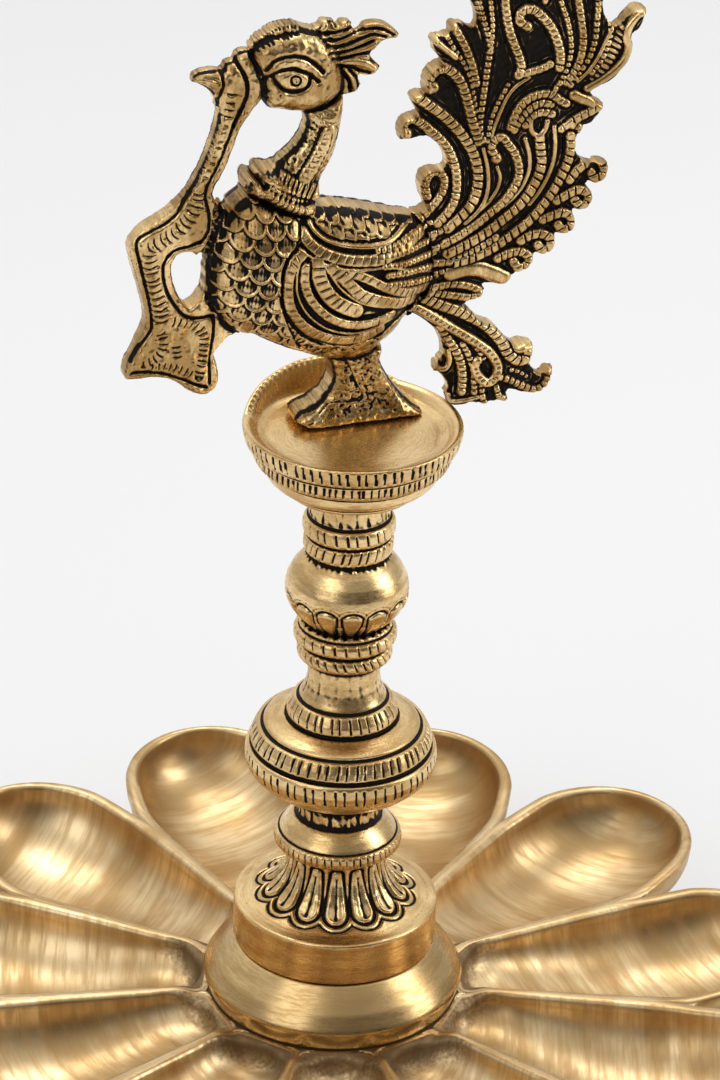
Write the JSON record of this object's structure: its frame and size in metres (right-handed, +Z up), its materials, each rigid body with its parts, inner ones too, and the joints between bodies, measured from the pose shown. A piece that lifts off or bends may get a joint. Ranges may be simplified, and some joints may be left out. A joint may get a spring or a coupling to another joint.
{
  "type": "diya",
  "caption": "Brass oil lamp: a lotus dish of boat-shaped oil wells on a turned foot, with a baluster stem, a small drip cup and a peacock on top.",
  "frame": {"origin": "on the stem's axis, on the surface that the foot stands on", "axes": "+X along the flat peacock casting from its beak to its tail, +Y along one petal and towards the side that the peacock stands nearer to, +Z up"},
  "size_m": [0.2514, 0.2499, 0.3375],
  "materials": {
    "satin_brass": "satin, brushed along the petals",
    "polished_brass": "turned and polished",
    "antique_brass": "antique, dark in the grooves and rubbed bright on the high places",
    "plain_brass": "plain turned"
  },
  "bodies": {
    "root": {"foot": "polished_brass", "lotus_dish": "satin_brass", "hub_dome": "polished_brass", "stem": "antique_brass", "drip_cup": "antique_brass", "bird": "antique_brass", "tie_rod": "plain_brass", "washer": "plain_brass", "nut": "plain_brass", "cup_stud": "plain_brass", "bird_stud": "plain_brass"}
  },
  "joints": []
}
